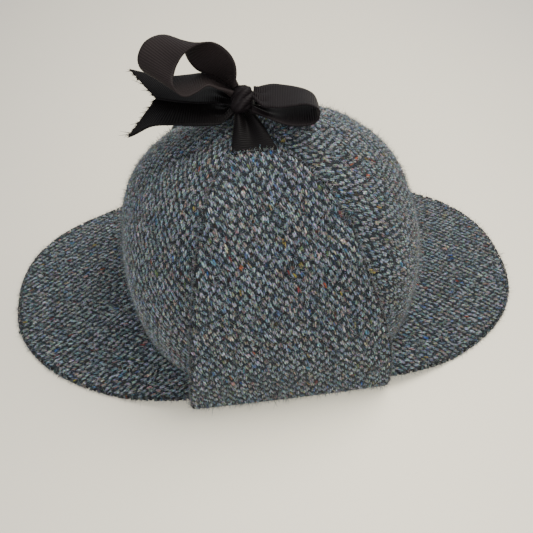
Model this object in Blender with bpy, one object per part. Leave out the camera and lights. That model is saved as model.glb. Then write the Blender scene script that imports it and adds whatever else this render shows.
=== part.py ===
"""A tweed deerstalker hat: a crown of six panels, a peak at each end, two folded-up ear flaps
and the grosgrain ribbons that tie them in a bow over the crown.

+X runs along the hat through both peaks, -Y is the near side, +Z is up, and the hat lies on
Z = 0. Lengths below are in millimetres and angles in degrees, until a shape is made.
"""

import math

import bpy
from mathutils import Vector

# Crown, measured outside the cloth
CROWN_HALF_LENGTH = 89.5
CROWN_HALF_WIDTH = 90.5
CROWN_HEIGHT = 126.0
CROWN_END_BULGE = 6.0
CROWN_SIDE_BULGE = 5.0
CROWN_CLOTH = 2.4
PANELS = 6
SEAM_GAP = 0.4
SEAM_DIP = 1.3
SEAM_FADE = 0.3
SEAM_SHARPNESS = 10
PANEL_TOP_CLIMB = 87.6
PANEL_ROW_CROWDING = 1.25
PLAN_POWER = 2.45
RIM_HEIGHT = 7.0
RIM_ARCH = 3.5

# Peaks
PEAK_REACH = 78.0
PEAK_SIDE_REACH = 5.5
PEAK_CLOTH = 2.8
PEAK_FOOT = 5.0
PEAK_FALL = 1.15
PEAK_LIFT_FROM = 34.0
# A peak tapers from just outside the ear flap's side edge to this share of the flap's half width
PEAK_TUCK_BEFORE = 3.0
PEAK_END_SHARE = 0.62
PEAK_END_STEP = 2.0
PEAK_TUCK_POWER = 1.5

# Ear flaps, folded up against the crown
FLAP_HALF_WIDTH = 60.5
FLAP_TOP_BACK = 17.5
FLAP_CLOTH = 3.0
FLAP_STANDOFF = 2.0
FLAP_FOLD_RADIUS = 4.0
FLAP_FOLD_CLIMB = 0.10
FAR_FLAP_SHORTER = 9.0
FLAP_EDGE_EASE = 0.35
CLIMB_STEP = 0.002
PROFILE_STEP = 0.01
SAG_HALVINGS = 24

# Ribbon and bow
RIBBON_WIDTH = 25.5
RIBBON_CLOTH = 1.1
KNOT_WIDTH = 12.0
KNOT_HEIGHT = 15.0
KNOT_DEPTH = 14.0
KNOT_LEFT = 15.0
KNOT_BACK = 13.5
KNOT_RISE = 12.0
KNOT_ROUNDNESS = 0.55
KNOT_WRAP_DEPTH = 0.06
KNOT_WRAPS = 3
LEAD_GATHER = 0.60
LEAD_FOLDS = 2.0
LEAD_FOLD = 1.8
LEAD_ARCH = 1.5
LEAD_SEAM_GAP = 0.6
BOW_TURN = 10.0
BOW_LEAN = 48.0

TAIL_CUT_FROM = 0.55

PIECE_GAP = 0.4
METRES = 0.001
SHARP_EDGE = 50.0

# Facets: rows and columns of each cloth
PANEL_ROWS, PANEL_COLUMNS = 14, 9
PEAK_ROWS, PEAK_COLUMNS = 8, 37
FLAP_LEG_ROWS, FLAP_FOLD_ROWS, FLAP_RISE_ROWS, FLAP_COLUMNS = 2, 5, 14, 13
LEFT_LOOP_ROWS, RIGHT_LOOP_ROWS, TAIL_ROWS, RIBBON_COLUMNS = 30, 22, 12, 5
LEAD_ROWS, LEAD_COLUMNS = 10, 13
KNOT_ROWS, KNOT_COLUMNS = 9, 14

TWEED = (0.070, 0.085, 0.100)
TWEED_ROUGHNESS = 0.95
GROSGRAIN = (0.012, 0.010, 0.010)
GROSGRAIN_ROUGHNESS = 0.7

# Share of the crown's half length or half width, and of its height, that each power rounds
END_ROUND, END_RISE = 2.05, 3.40
SIDE_ROUND, SIDE_RISE = 1.90, 1.90

# Peaks, with how full their outline is on the near and on the far side
PEAKS = (
    dict(name="left_peak", facing=-1.0, near_power=2.15, far_power=2.55),
    dict(name="right_peak", facing=1.0, near_power=2.30, far_power=2.45),
)

# Soft dents of the crown: plan angle, climb in degrees, depth in shares of the cloth, spread
DENTS = (
    dict(turn=205.0, climb=35.0, depth=1.0, spread=16.0),
    dict(turn=338.0, climb=30.0, depth=0.9, spread=15.0),
    dict(turn=150.0, climb=50.0, depth=0.8, spread=18.0),
    dict(turn=25.0, climb=52.0, depth=0.9, spread=17.0),
)

# Ear flap from the fold to its top: share of its length, where its two side edges lie in
# shares of its half width, and how closely it follows the crown's curve
FLAP_SHAPE = (
    dict(along=0.00, left=-1.00, right=0.98, hug=0.06),
    dict(along=0.15, left=-0.98, right=0.94, hug=0.16),
    dict(along=0.30, left=-0.95, right=0.84, hug=0.32),
    dict(along=0.48, left=-0.88, right=0.69, hug=0.50),
    dict(along=0.64, left=-0.80, right=0.58, hug=0.66),
    dict(along=0.80, left=-0.69, right=0.40, hug=0.78),
    dict(along=0.92, left=-0.56, right=0.20, hug=0.88),
    dict(along=1.00, left=-0.44, right=0.01, hug=0.92),
)

# Bow loops and tails, one row for each place along the ribbon, in shares of its width: its
# middle seen from the near side (right, up, towards), the way its width lies, and how much of
# the width is left where the knot gathers it. A seat is a place on the knot: degrees round it
# from the right, and degrees of climb towards its top.
LEFT_LOOP = (
    dict(seat=(180.0, 62.0), across=(0.1, 0.0, 1.0), full=0.50),
    dict(right=-0.40, up=0.50, towards=0.06, across=(0.35, 0.15, 0.9), full=0.80),
    dict(right=-0.50, up=0.74, towards=0.14, across=(0.46, 0.30, 0.85), full=1.00),
    dict(right=-0.74, up=0.90, towards=0.26, across=(0.54, 0.36, 0.74), full=1.00),
    dict(right=-1.02, up=1.04, towards=0.38, across=(0.62, 0.26, 0.72), full=1.00),
    dict(right=-1.32, up=1.15, towards=0.48, across=(0.72, 0.02, 0.66), full=1.00),
    dict(right=-1.60, up=1.15, towards=0.56, across=(0.82, -0.24, 0.50), full=1.00),
    dict(right=-1.80, up=1.02, towards=0.60, across=(0.87, -0.31, 0.40), full=1.00),
    dict(right=-1.88, up=0.74, towards=0.58, across=(0.82, -0.31, 0.48), full=1.00),
    dict(right=-1.78, up=0.46, towards=0.52, across=(0.70, -0.30, 0.62), full=1.00),
    dict(right=-1.50, up=0.30, towards=0.44, across=(0.45, -0.42, 0.76), full=1.00),
    dict(right=-1.20, up=0.33, towards=0.34, across=(0.24, -0.48, 0.84), full=1.00),
    dict(right=-0.88, up=0.36, towards=0.22, across=(0.12, -0.38, 0.92), full=0.95),
    dict(right=-0.55, up=0.28, towards=0.10, across=(0.04, -0.22, 0.97), full=0.75),
    dict(seat=(180.0, 22.0), across=(0.0, -0.12, 1.0), full=0.50),
)
RIGHT_LOOP = (
    dict(seat=(8.0, 26.0), across=(0.0, -0.40, 0.92), full=0.55),
    dict(right=0.50, up=0.18, towards=0.12, across=(0.0, -0.56, 0.83), full=0.90),
    dict(right=0.74, up=0.19, towards=0.16, across=(0.03, -0.56, 0.82), full=1.00),
    dict(right=1.04, up=0.17, towards=0.19, across=(0.04, -0.52, 0.85), full=1.00),
    dict(right=1.34, up=0.13, towards=0.21, across=(0.05, -0.46, 0.88), full=1.00),
    dict(right=1.51, up=-0.04, towards=0.22, across=(0.08, -0.34, 0.93), full=1.00),
    dict(right=1.52, up=-0.28, towards=0.22, across=(0.08, -0.24, 0.97), full=1.00),
    dict(right=1.34, up=-0.43, towards=0.22, across=(0.05, -0.20, 0.98), full=1.00),
    dict(right=1.02, up=-0.45, towards=0.22, across=(0.0, -0.20, 0.98), full=1.00),
    dict(right=0.66, up=-0.36, towards=0.18, across=(0.0, -0.20, 0.98), full=0.90),
    dict(seat=(8.0, -38.0), across=(0.0, -0.18, 0.99), full=0.55),
)
LOWER_TAIL = (
    dict(seat=(176.0, -40.0), across=(0.0, -0.50, 0.86), full=0.50),
    dict(right=-0.58, up=-0.37, towards=0.05, across=(0.0, -0.52, 0.86), full=0.90),
    dict(right=-0.98, up=-0.38, towards=0.05, across=(0.0, -0.46, 0.89), full=1.00),
    dict(right=-1.44, up=-0.36, towards=0.05, across=(0.0, -0.46, 0.89), full=1.00),
    dict(right=-1.84, up=-0.38, towards=0.05, across=(0.0, -0.52, 0.86), full=1.00),
    dict(right=-2.16, up=-0.50, towards=0.02, across=(0.0, -0.62, 0.78), full=1.00),
)
UPPER_TAIL = (
    dict(seat=(198.0, -6.0), across=(0.0, -0.55, 0.84), full=0.45),
    dict(right=-0.62, up=0.10, towards=-0.24, across=(0.04, -0.62, 0.78), full=0.85),
    dict(right=-1.05, up=0.17, towards=-0.32, across=(0.10, -0.64, 0.76), full=1.00),
    dict(right=-1.55, up=0.24, towards=-0.34, across=(0.18, -0.66, 0.72), full=1.00),
    dict(right=-2.26, up=0.36, towards=-0.34, across=(0.24, -0.72, 0.64), full=1.00),
)
# How much further the near edge of a tail runs than its far edge, in shares of the width
LOWER_TAIL_SLANT = 0.56
UPPER_TAIL_SLANT = -0.50


def plan_radius(turn, half_length, half_width, power):
    """Distance from the middle to a rounded oval, in the direction turn (radians)."""
    along = abs(math.cos(turn) / half_length) ** power
    beside = abs(math.sin(turn) / half_width) ** power
    return (along + beside) ** (-1.0 / power)


def rim_height(turn):
    """Height of the crown's lower edge: arched over the peaks, lower at the sides."""
    return RIM_HEIGHT + RIM_ARCH * math.cos(turn) ** 2


def dent_depth(turn, climb):
    """How far the soft dents press the crown in at this place."""
    total = 0.0
    for dent in DENTS:
        round_by = (math.degrees(turn) - dent["turn"] + 180.0) % 360.0 - 180.0
        up_by = math.degrees(climb) - dent["climb"]
        share = (round_by ** 2 + up_by ** 2) / dent["spread"] ** 2
        total += dent["depth"] * CROWN_CLOTH * math.exp(-share)
    return total


def seam_depth(turn, climb):
    """How far the seams between the panels draw the crown in, from just above the rim."""
    nearness = abs(math.cos(turn * PANELS / 2.0)) ** SEAM_SHARPNESS
    return SEAM_DIP * nearness * min(climb / SEAM_FADE, 1.0)


def crown_point(turn, climb, inset=0.0):
    """A point of the crown: turn round the plan, climb from the rim (0) to the top (pi / 2)."""
    side = math.sin(turn) ** 2
    round_power = END_ROUND + (SIDE_ROUND - END_ROUND) * side
    rise_power = END_RISE + (SIDE_RISE - END_RISE) * side
    out = max(math.cos(climb), 0.0) ** (2.0 / round_power)
    up = math.sin(climb) ** (2.0 / rise_power)
    bulge = CROWN_END_BULGE + (CROWN_SIDE_BULGE - CROWN_END_BULGE) * side
    radius = plan_radius(turn, CROWN_HALF_LENGTH, CROWN_HALF_WIDTH, PLAN_POWER)
    radius = (radius + bulge * math.sin(math.pi * up) - inset) * out
    foot = rim_height(turn)
    height = foot + (RIM_HEIGHT + CROWN_HEIGHT - inset - foot) * up
    return Vector((radius * math.cos(turn), radius * math.sin(turn), height))


def add_piece(name, points, faces, colour, roughness):
    """One named object of the closed shape, in its own finish."""
    mesh = bpy.data.meshes.new(name)
    mesh.from_pydata([p * METRES for p in points], [], faces)
    mesh.validate()
    face_out(mesh)
    mesh.shade_smooth()
    mesh.set_sharp_from_angle(angle=math.radians(SHARP_EDGE))
    material = bpy.data.materials.new(name + "_cloth")
    material.use_nodes = True
    finish = material.node_tree.nodes["Principled BSDF"]
    finish.inputs["Base Color"].default_value = (*colour, 1.0)
    finish.inputs["Roughness"].default_value = roughness
    finish.inputs["Metallic"].default_value = 0.0
    mesh.materials.append(material)
    piece = bpy.data.objects.new(name, mesh)
    bpy.context.collection.objects.link(piece)


def face_out(mesh):
    """Turn a closed mesh's faces over if its volume comes out negative."""
    volume = 0.0
    mesh.calc_loop_triangles()
    for triangle in mesh.loop_triangles:
        a, b, c = (mesh.vertices[i].co for i in triangle.vertices)
        volume += a.dot(b.cross(c))
    if volume < 0.0:
        mesh.flip_normals()


def cloth_piece(name, outer, inner, colour, roughness):
    """One closed cloth between two grids of points with the same rows and columns."""
    rows, columns = len(outer), len(outer[0])
    points = [p for grid in (outer, inner) for row in grid for p in row]
    under = rows * columns

    def spot(row, column, side=0):
        return side * under + row * columns + column

    faces = []
    for row in range(rows - 1):
        for column in range(columns - 1):
            corners = ((row, column), (row, column + 1), (row + 1, column + 1), (row + 1, column))
            faces.append([spot(r, c) for r, c in corners])
            faces.append([spot(r, c, 1) for r, c in reversed(corners)])
    rim = [(0, c) for c in range(columns)]
    rim += [(r, columns - 1) for r in range(1, rows)]
    rim += [(rows - 1, c) for c in range(columns - 2, -1, -1)]
    rim += [(r, 0) for r in range(rows - 2, 0, -1)]
    for here, after in zip(rim, rim[1:] + rim[:1]):
        faces.append([spot(*after), spot(*here), spot(*here, 1), spot(*after, 1)])
    add_piece(name, points, faces, colour, roughness)


def thicken(grid, thickness):
    """The two faces of a cloth of this thickness about a grid of points."""
    rows, columns = len(grid), len(grid[0])
    outer, inner = [], []
    for r in range(rows):
        outer.append([])
        inner.append([])
        for c in range(columns):
            down = grid[min(r + 1, rows - 1)][c] - grid[max(r - 1, 0)][c]
            over = grid[r][min(c + 1, columns - 1)] - grid[r][max(c - 1, 0)]
            normal = over.cross(down).normalized()
            outer[-1].append(grid[r][c] - normal * thickness / 2.0)
            inner[-1].append(grid[r][c] + normal * thickness / 2.0)
    return outer, inner


def blend(rows, key, column, along):
    """Read one column of a table between its rows, smoothly."""
    for low, high in zip(rows, rows[1:]):
        if along <= high[key]:
            share = (along - low[key]) / (high[key] - low[key])
            share = max(share, 0.0)
            share += (share * share * (3.0 - 2.0 * share) - share) * FLAP_EDGE_EASE
            return low[column] + (high[column] - low[column]) * share
    return rows[-1][column]


def crown_panel(index):
    """One sixth of the crown, from seam to seam and from the rim to the top."""
    outer, inner = [], []
    width = 2.0 * math.pi / PANELS
    first = width * index
    for row in range(PANEL_ROWS):
        share = (row / (PANEL_ROWS - 1)) ** PANEL_ROW_CROWDING
        climb = math.radians(PANEL_TOP_CLIMB) * share
        outer.append([])
        inner.append([])
        for column in range(PANEL_COLUMNS):
            across = column / (PANEL_COLUMNS - 1)
            middle = crown_point(first + width * across, climb)
            edge = math.asin(SEAM_GAP / 2.0 / math.hypot(middle.x, middle.y))
            turn = first + edge + (width - 2.0 * edge) * across
            pressed = seam_depth(turn, climb) + dent_depth(turn, climb)
            outer[-1].append(crown_point(turn, climb, pressed))
            inner[-1].append(crown_point(turn, climb, pressed + CROWN_CLOTH))
    cloth_piece(f"crown_panel_{index + 1}", outer, inner, TWEED, TWEED_ROUGHNESS)


def peak_flank():
    """Plan angle at which a peak passes under the ear flap's side edge."""
    return math.atan2(CROWN_HALF_WIDTH, FLAP_HALF_WIDTH)


def peak_end():
    """Plan angle at which a peak has tapered away under the ear flap."""
    return math.acos(PEAK_END_SHARE * FLAP_HALF_WIDTH / CROWN_HALF_LENGTH)


def peak_edge_radius(turn, power):
    """Distance from the middle to the peak's outer edge, drawn in under the ear flap."""
    root = plan_radius(turn, CROWN_HALF_LENGTH, CROWN_HALF_WIDTH, PLAN_POWER)
    edge = plan_radius(
        turn,
        CROWN_HALF_LENGTH + PEAK_REACH,
        CROWN_HALF_WIDTH + PEAK_SIDE_REACH,
        power,
    )
    tuck = peak_flank() - math.radians(PEAK_TUCK_BEFORE)
    beyond = max(abs(turn) - tuck, 0.0) / (peak_end() - tuck)
    return edge + (root + PEAK_END_STEP - edge) * min(beyond, 1.0) ** PEAK_TUCK_POWER


def peak_edge_height(turn):
    """Height of the peak's edge: on the ground in front, clear of the ear flap at its ends."""
    start = math.radians(PEAK_LIFT_FROM)
    share = min(max((abs(turn) - start) / (peak_flank() - start), 0.0), 1.0)
    return RIM_HEIGHT * share * share * (3.0 - 2.0 * share)


def peak(row):
    """A peak in two faces: a stiffened crescent from the rim down to a flat foot at its edge."""
    foot_share = PEAK_FOOT / PEAK_REACH
    steps = PEAK_ROWS - 2
    shares = [(1.0 - foot_share) * step / steps for step in range(steps + 1)] + [1.0]
    upper, lower = [], []
    for share in shares:
        fall = min(share / (1.0 - foot_share), 1.0) ** PEAK_FALL
        upper.append([])
        lower.append([])
        for column in range(PEAK_COLUMNS):
            around = 2.0 * column / (PEAK_COLUMNS - 1) - 1.0
            turn = peak_end() * math.sin(math.pi / 2.0 * around)
            power = row["near_power"] if turn * row["facing"] < 0.0 else row["far_power"]
            root = plan_radius(turn, CROWN_HALF_LENGTH, CROWN_HALF_WIDTH, PLAN_POWER)
            root += CROWN_END_BULGE * math.pi * PEAK_CLOTH / CROWN_HEIGHT + PIECE_GAP
            radius = root + (peak_edge_radius(turn, power) - root) * share
            height = (rim_height(turn) + PIECE_GAP) * (1.0 - fall) + peak_edge_height(turn) * fall
            spot = Vector((radius * math.cos(turn), radius * math.sin(turn), height))
            spot.x *= row["facing"]
            spot.y *= row["facing"]
            lower[-1].append(spot)
            upper[-1].append(spot + Vector((0.0, 0.0, PEAK_CLOTH)))
    cloth_piece(row["name"], upper, lower, TWEED, TWEED_ROUGHNESS)


def side_profile(climb):
    """The crown's middle line on a side: how far out, how high, and the way it faces."""
    here = crown_point(math.pi / 2.0, climb)
    after = crown_point(math.pi / 2.0, min(climb + PROFILE_STEP, math.pi / 2.0))
    before = crown_point(math.pi / 2.0, max(climb - PROFILE_STEP, 0.0))
    tangent = after - before
    return here, Vector((0.0, tangent.z, -tangent.y)).normalized()


def inside_crown(spot):
    """Whether a point lies inside the crown's outer face."""
    turn = math.atan2(spot.y, spot.x)
    foot = rim_height(turn)
    up = (spot.z - foot) / (RIM_HEIGHT + CROWN_HEIGHT - foot)
    if up >= 1.0:
        return False
    side = math.sin(turn) ** 2
    rise_power = END_RISE + (SIDE_RISE - END_RISE) * side
    climb = math.asin(max(up, 0.0) ** (rise_power / 2.0))
    edge = crown_point(turn, climb)
    return math.hypot(spot.x, spot.y) < math.hypot(edge.x, edge.y)


def sag(spot, normal):
    """How far the crown has curved away from its middle line, straight in from a point."""
    low, high = 0.0, CROWN_HALF_WIDTH
    for _ in range(SAG_HALVINGS):
        middle = (low + high) / 2.0
        if inside_crown(spot - normal * middle):
            high = middle
        else:
            low = middle
    return low


def flap_top_climb(short):
    """Climb at which the ear flap's top edge lies."""
    climb = math.pi / 2.0
    while side_profile(climb)[0].y < FLAP_TOP_BACK + short:
        climb -= CLIMB_STEP
    return climb


def flap_face(share, along, side, short):
    """Middle of the folded-up ear flap's cloth: share from edge to edge, along from the fold."""
    climb = FLAP_FOLD_CLIMB + (flap_top_climb(short) - FLAP_FOLD_CLIMB) * along
    middle, normal = side_profile(climb)
    left = blend(FLAP_SHAPE, "along", "left", along)
    right = blend(FLAP_SHAPE, "along", "right", along)
    spot = middle + Vector((FLAP_HALF_WIDTH * (left + (right - left) * share), 0.0, 0.0))
    hug = blend(FLAP_SHAPE, "along", "hug", along)
    spot += normal * (FLAP_STANDOFF + FLAP_CLOTH / 2.0 - hug * sag(spot, normal))
    spot.y *= side
    return spot


def ear_flap(name, side, short=0.0):
    """A stiff flap sewn under the rim, folded up and laid against the side of the crown."""
    half = FLAP_CLOTH / 2.0
    shares = [column / (FLAP_COLUMNS - 1) for column in range(FLAP_COLUMNS)]
    lowest = [flap_face(share, 0.0, side, short) for share in shares]
    grid = []
    for leg in range(FLAP_LEG_ROWS):
        share = leg / FLAP_LEG_ROWS
        row = []
        for spot in lowest:
            rim = crown_point(math.atan2(abs(spot.y), spot.x), 0.0)
            root = side * (rim.y - CROWN_CLOTH / 2.0)
            fold = spot.y - side * FLAP_FOLD_RADIUS
            steepness = math.atan2(RIM_HEIGHT - half, abs(fold - root))
            root_height = RIM_HEIGHT - PIECE_GAP - half * math.cos(steepness)
            height = root_height + (half - root_height) * share
            row.append(Vector((spot.x, root + (fold - root) * share, height)))
        grid.append(row)
    for fold in range(FLAP_FOLD_ROWS):
        angle = math.pi / 2.0 * fold / (FLAP_FOLD_ROWS - 1)
        row = []
        for spot in lowest:
            out = spot.y - side * FLAP_FOLD_RADIUS * (1.0 - math.sin(angle))
            height = half + FLAP_FOLD_RADIUS * (1.0 - math.cos(angle))
            row.append(Vector((spot.x, out, height)))
        grid.append(row)
    for rise in range(1, FLAP_RISE_ROWS + 1):
        along = rise / FLAP_RISE_ROWS
        grid.append([flap_face(share, along, side, short) for share in shares])
    outer, inner = thicken(grid, FLAP_CLOTH)
    for row in outer + inner:
        for spot in row:
            spot.z = max(spot.z, 0.0)
    cloth_piece(name, outer, inner, TWEED, TWEED_ROUGHNESS)


def knot_middle():
    """The middle of the knot, over the crown."""
    return Vector((-KNOT_LEFT, KNOT_BACK, RIM_HEIGHT + CROWN_HEIGHT + KNOT_RISE))


def bow_axes():
    """Right, up and towards, as the bow's near side faces."""
    turn, lean = math.radians(BOW_TURN), math.radians(BOW_LEAN)
    right = Vector((math.cos(turn), -math.sin(turn), 0.0))
    towards = Vector((
        -math.sin(turn) * math.cos(lean),
        -math.cos(turn) * math.cos(lean),
        math.sin(lean),
    ))
    return right, towards.cross(right), towards


def ribbon_clearance():
    """How far the middle of a ribbon's end stays off the knot."""
    return PIECE_GAP + RIBBON_CLOTH / 2.0


def knot_surface(turn, climb, clearance=0.0):
    """A point on the knot or clear of it: turn round it from the right, climb to its top."""
    right, up, towards = bow_axes()
    wrap = 1.0 + KNOT_WRAP_DEPTH * math.cos(2.0 * KNOT_WRAPS * climb + turn)
    out = math.cos(climb) ** KNOT_ROUNDNESS * wrap
    spot = right * math.cos(turn) * out * (KNOT_WIDTH / 2.0)
    spot += towards * math.sin(turn) * out * (KNOT_DEPTH / 2.0)
    spot += up * math.sin(climb) * (KNOT_HEIGHT / 2.0)
    return knot_middle() + spot + spot.normalized() * clearance


def spline(values, share):
    """Catmull-Rom curve through evenly shared values (numbers or vectors)."""
    place = share * (len(values) - 1)
    index = min(int(place), len(values) - 2)
    t = place - index
    b, c = values[index], values[index + 1]
    a = values[index - 1] if index > 0 else b + (b - c)
    d = values[index + 2] if index + 2 < len(values) else c + (c - b)
    return 0.5 * (
        2.0 * b
        + (c - a) * t
        + (2.0 * a - 5.0 * b + 4.0 * c - d) * t * t
        + (3.0 * (b - c) + d - a) * t ** 3
    )


def bow_ribbon(name, table, stations, slant=0.0):
    """A ribbon of the bow, laid through its table's places."""
    axes = bow_axes()

    def to_place(values):
        return sum((axis * value for axis, value in zip(axes, values)), Vector())

    middles = []
    for row in table:
        if "seat" in row:
            middles.append(knot_surface(*map(math.radians, row["seat"]), ribbon_clearance()))
        else:
            place = to_place((row["right"], row["up"], row["towards"]))
            middles.append(knot_middle() + place * RIBBON_WIDTH)
    acrosses = [to_place(row["across"]).normalized() for row in table]
    fulls = [r["full"] for r in table]
    grid = []
    for station in range(stations):
        share = station / (stations - 1)
        middle = spline(middles, share)
        across = spline(acrosses, share).normalized()
        width = RIBBON_WIDTH * spline(fulls, share)
        before = spline(middles, max(share - PROFILE_STEP, 0.0))
        after = spline(middles, min(share + PROFILE_STEP, 1.0))
        cut = slant * max(share - TAIL_CUT_FROM, 0.0) / (1.0 - TAIL_CUT_FROM)
        row = []
        for column in range(RIBBON_COLUMNS):
            lie = column / (RIBBON_COLUMNS - 1) - 0.5
            longer = (after - before).normalized() * RIBBON_WIDTH * cut * lie
            row.append(middle + across * width * lie + longer)
        grid.append(row)
    outer, inner = thicken(grid, RIBBON_CLOTH)
    cloth_piece(name, outer, inner, GROSGRAIN, GROSGRAIN_ROUGHNESS)


def bow_knot():
    """The wrapped knot: a rounded lump with the ribbon's turns round it."""
    points, faces = [], []
    for row in range(KNOT_ROWS):
        climb = math.pi * (row + 0.5) / KNOT_ROWS - math.pi / 2.0
        for column in range(KNOT_COLUMNS):
            points.append(knot_surface(2.0 * math.pi * column / KNOT_COLUMNS, climb))
    for row in range(KNOT_ROWS - 1):
        low, high = row * KNOT_COLUMNS, (row + 1) * KNOT_COLUMNS
        for column in range(KNOT_COLUMNS):
            after = (column + 1) % KNOT_COLUMNS
            faces.append((low + column, low + after, high + after, high + column))
    top = (KNOT_ROWS - 1) * KNOT_COLUMNS
    faces.append(tuple(reversed(range(KNOT_COLUMNS))))
    faces.append(tuple(range(top, top + KNOT_COLUMNS)))
    add_piece("bow_knot", points, faces, GROSGRAIN, GROSGRAIN_ROUGHNESS)


def ribbon_lead(name, side, short, end):
    """The ribbon from an ear flap's top edge to the knot, gathered into folds on the way."""
    left, right = (flap_face(share, 1.0, side, short) for share in (0.0, 1.0))
    upward = flap_face(0.5, 1.0, side, short) - flap_face(0.5, 1.0 - PROFILE_STEP, side, short)
    start = (left + right) / 2.0 + upward.normalized() * LEAD_SEAM_GAP
    across = (right - left).normalized()
    over = (end - start).cross(across).normalized()
    if over.z < 0.0:
        over = -over
    grid = []
    for station in range(LEAD_ROWS):
        share = station / (LEAD_ROWS - 1)
        middle = start + (end - start) * share + over * LEAD_ARCH * math.sin(math.pi * share)
        width = RIBBON_WIDTH * (1.0 - LEAD_GATHER * share)
        row = []
        for column in range(LEAD_COLUMNS):
            lie = column / (LEAD_COLUMNS - 1) - 0.5
            wave = LEAD_FOLD * share * math.cos(2.0 * math.pi * LEAD_FOLDS * lie)
            row.append(middle + across * width * lie + over * wave)
        grid.append(row)
    outer, inner = thicken(grid, RIBBON_CLOTH)
    cloth_piece(name, outer, inner, GROSGRAIN, GROSGRAIN_ROUGHNESS)


def knot_side(right, up, towards):
    """A point just clear of the knot, on the side named by shares of its half sizes."""
    axes = bow_axes()
    halves = (KNOT_WIDTH / 2.0, KNOT_HEIGHT / 2.0, KNOT_DEPTH / 2.0)
    spot = knot_middle()
    for axis, half, share in zip(axes, halves, (right, up, towards)):
        spot += axis * (half + ribbon_clearance()) * share
    return spot


for old in list(bpy.data.objects):
    bpy.data.objects.remove(old)

for panel in range(PANELS):
    crown_panel(panel)
for peak_row in PEAKS:
    peak(peak_row)
ear_flap("near_ear_flap", -1)
ear_flap("far_ear_flap", 1, FAR_FLAP_SHORTER)
bow_ribbon("bow_left_loop", LEFT_LOOP, LEFT_LOOP_ROWS)
bow_ribbon("bow_right_loop", RIGHT_LOOP, RIGHT_LOOP_ROWS)
bow_ribbon("bow_lower_tail", LOWER_TAIL, TAIL_ROWS, LOWER_TAIL_SLANT)
bow_ribbon("bow_upper_tail", UPPER_TAIL, TAIL_ROWS, UPPER_TAIL_SLANT)
bow_knot()
ribbon_lead("near_ribbon_lead", -1, 0.0, knot_side(0.15, -1.0, 0.2))
ribbon_lead("far_ribbon_lead", 1, FAR_FLAP_SHORTER, knot_side(0.0, -0.3, -0.98))
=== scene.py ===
"""Looks of a tweed deerstalker hat: every cloth of it, its weave, its fuzz and its ribbon bow.

The hat lies on Z = 0 with +X along it and -Y on its near side. Lengths below are in
millimetres and angles in degrees; MM turns a length into metres where a mesh is made.
"""

import math

import bpy
import numpy as np
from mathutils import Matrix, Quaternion, Vector


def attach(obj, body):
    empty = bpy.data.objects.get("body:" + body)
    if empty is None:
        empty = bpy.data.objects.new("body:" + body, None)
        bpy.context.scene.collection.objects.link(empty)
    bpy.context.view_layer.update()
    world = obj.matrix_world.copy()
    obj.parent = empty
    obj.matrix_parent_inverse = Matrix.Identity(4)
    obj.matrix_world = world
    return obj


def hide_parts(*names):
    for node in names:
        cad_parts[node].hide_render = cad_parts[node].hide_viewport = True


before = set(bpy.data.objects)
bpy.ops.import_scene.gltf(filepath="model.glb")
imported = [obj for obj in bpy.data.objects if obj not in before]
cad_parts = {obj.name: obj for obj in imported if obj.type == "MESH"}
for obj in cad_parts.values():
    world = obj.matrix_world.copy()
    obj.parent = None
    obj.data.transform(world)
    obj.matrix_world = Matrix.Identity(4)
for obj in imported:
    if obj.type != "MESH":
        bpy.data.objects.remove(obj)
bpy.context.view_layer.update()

MM = 0.001
RANDOM = np.random.default_rng(1887)

# Crown, measured outside the cloth
CROWN_HALF_LENGTH = 89.5
CROWN_HALF_WIDTH = 90.5
CROWN_HEIGHT = 126.0
CROWN_END_BULGE = 6.0
CROWN_SIDE_BULGE = 5.0
CROWN_CLOTH = 2.4
PLAN_POWER = 2.45
END_ROUND, END_RISE = 2.05, 3.40
SIDE_ROUND, SIDE_RISE = 1.90, 1.90
PANELS = 6
SEAM_GAP = 0.15
CROWN_TOP_CLIMB = 89.4
RIM_HEIGHT = 7.0
RIM_ARCH = 3.5

# Peaks
PEAK_REACH = 78.0
PEAK_SIDE_REACH = 5.5
PEAK_CLOTH = 2.8
PEAK_FOOT = 5.0
PEAK_FALL = 1.15
PEAK_LIFT_FROM = 34.0
PEAK_TUCK_BEFORE = 3.0
PEAK_END_SHARE = 0.62
PEAK_END_STEP = 2.0
PEAK_TUCK_POWER = 1.5

# Ear flaps
FLAP_HALF_WIDTH = 60.5
FLAP_TOP_BACK = 17.5
FLAP_CLOTH = 3.0
FLAP_STANDOFF = 2.0
FLAP_FOLD_RADIUS = 4.0
FLAP_FOLD_CLIMB = 0.10
FAR_FLAP_SHORTER = 9.0
FLAP_LEG = 7.5
PIECE_GAP = 0.4

# How much the flap's cloth waves in and out, and how its two corners at the fold are rounded
FLAP_UNEVEN = 0.7
FLAP_CORNER_ROUND = 3.5
FLAP_CORNER_FROM = 3.0

# How far the flap's leg under the rim goes in and up for each millimetre of its length
LEG_IN = 0.86
LEG_UP = 0.5

# Ribbon and bow
RIBBON_WIDTH = 25.5
RIBBON_CLOTH = 0.7
KNOT_WIDTH = 12.0
KNOT_HEIGHT = 15.0
KNOT_DEPTH = 14.0
KNOT_LEFT = 15.0
KNOT_BACK = 13.5
KNOT_RISE = 12.0
KNOT_ROUNDNESS = 0.55
BOW_TURN = 10.0
BOW_LEAN = 48.0
TAIL_CUT_FROM = 0.55
SEAT_GAP = 0.3 * PIECE_GAP

# Weave: spacing of the tweed's floats across and along the cloth, and how its grain runs
FLOAT_SPACING = (2.3, 2.72)
PEAK_FLOAT_SPACING = (1.9, 2.8)
YARN_LEAN = 12.0
PEAK_YARN_LEAN = -11.0
GRAIN_TURN = (14.0, 0.0, -14.0, -32.0, 0.0, -24.0)
FLAP_GRAIN_TURN = -6.0
GROUND_DEPTH = 0.30
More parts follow.
